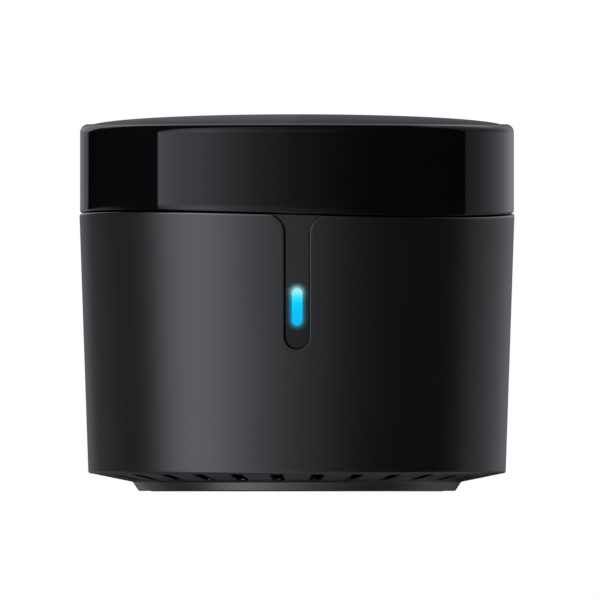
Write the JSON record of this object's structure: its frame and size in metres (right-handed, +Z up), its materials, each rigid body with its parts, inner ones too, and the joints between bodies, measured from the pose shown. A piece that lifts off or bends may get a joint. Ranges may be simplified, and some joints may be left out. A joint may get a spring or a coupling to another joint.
{
  "type": "smart infrared blaster hub",
  "caption": "Round, slightly tapered infrared remote hub with a glossy domed cap, a lit slot in its front, a vented base on a rubber foot and a small power socket at the back.",
  "frame": {"origin": "centre of the rubber foot's underside, on the surface that the hub stands on", "axes": "+Z up along the housing's axis, -Y towards the front with the lit slot, +Y towards the rear with the power socket, +X to the right seen from the front"},
  "size_m": [0.048, 0.0479, 0.0416],
  "materials": {
    "cap_gloss": "high gloss, passes infrared",
    "body_satin": "fine satin",
    "base_matt": "matt",
    "strip_matt": "matt",
    "foot_rubber": "matt rubber",
    "screw_steel": "plated steel",
    "guide_clear": "clear light guide, lit blue-cyan",
    "shroud_white": "matt white",
    "led_lens": "clear resin over phosphor",
    "board_green": "solder mask",
    "radio_blue": "solder mask",
    "tin_plate": "tin plated sheet",
    "contact_gold": "gold flash",
    "copper_track": "bare copper",
    "black_plastic": "moulded black",
    "key_plastic": "fine satin",
    "plunger_plastic": "satin",
    "chip_epoxy": "moulded epoxy",
    "coil_ferrite": "pressed ferrite",
    "can_aluminium": "drawn aluminium",
    "ceramic_tan": "fired ceramic",
    "socket_ivory": "moulded ivory",
    "cable_white": "polyester ribbon",
    "emitter_resin": "blue tinted resin",
    "receiver_resin": "dark infrared resin"
  },
  "bodies": {
    "housing": {"cap": "cap_gloss", "body_shell": "body_satin", "base_plate": "base_matt", "foot_pad": "foot_rubber", "base_screws": "screw_steel", "light_strip": "strip_matt", "light_guide": "guide_clear", "light_shroud": "shroud_white", "status_leds": "led_lens", "main_board": "board_green", "usb_shell": "tin_plate", "usb_insert": "black_plastic", "usb_contacts": "contact_gold", "switch_body": "black_plastic", "switch_cover": "tin_plate", "switch_dome": "contact_gold", "radio_board": "radio_blue", "radio_can": "tin_plate", "radio_chip": "chip_epoxy", "radio_antenna": "copper_track", "power_coil": "coil_ferrite", "regulator": "chip_epoxy", "storage_capacitors": "can_aluminium", "capacitor_bases": "black_plastic", "ceramic_capacitors": "ceramic_tan", "crystal": "tin_plate", "flat_cable": "cable_white", "lower_cable_socket": "socket_ivory", "upper_cable_socket": "socket_ivory", "emitter_board": "board_green", "emitter_lenses": "emitter_resin", "emitter_leads": "tin_plate", "crown_emitter": "emitter_resin", "crown_emitter_leads": "tin_plate", "ir_receiver": "receiver_resin", "receiver_cage": "tin_plate", "driver_transistors": "chip_epoxy", "driver_resistors": "chip_epoxy", "upper_board_screws": "screw_steel"},
    "key": {"reset_key": "key_plastic"},
    "plunger": {"switch_plunger": "plunger_plastic"}
  },
  "joints": [
    {"name": "reset_key_press", "type": "slide", "parent": "housing", "child": "key", "axis": [-0.4695, -0.8829, 0], "range_m": [0, 0.0003], "stiffness_N_per_m": 400},
    {"name": "plunger_press", "type": "slide", "parent": "housing", "child": "plunger", "axis": [-0.4695, -0.8829, 0], "range_m": [0, 0.0003], "deforming": ["switch_dome"]}
  ],
  "couplings": [
    {"joint": "plunger_press", "follows": "reset_key_press", "ratio": 1}
  ]
}
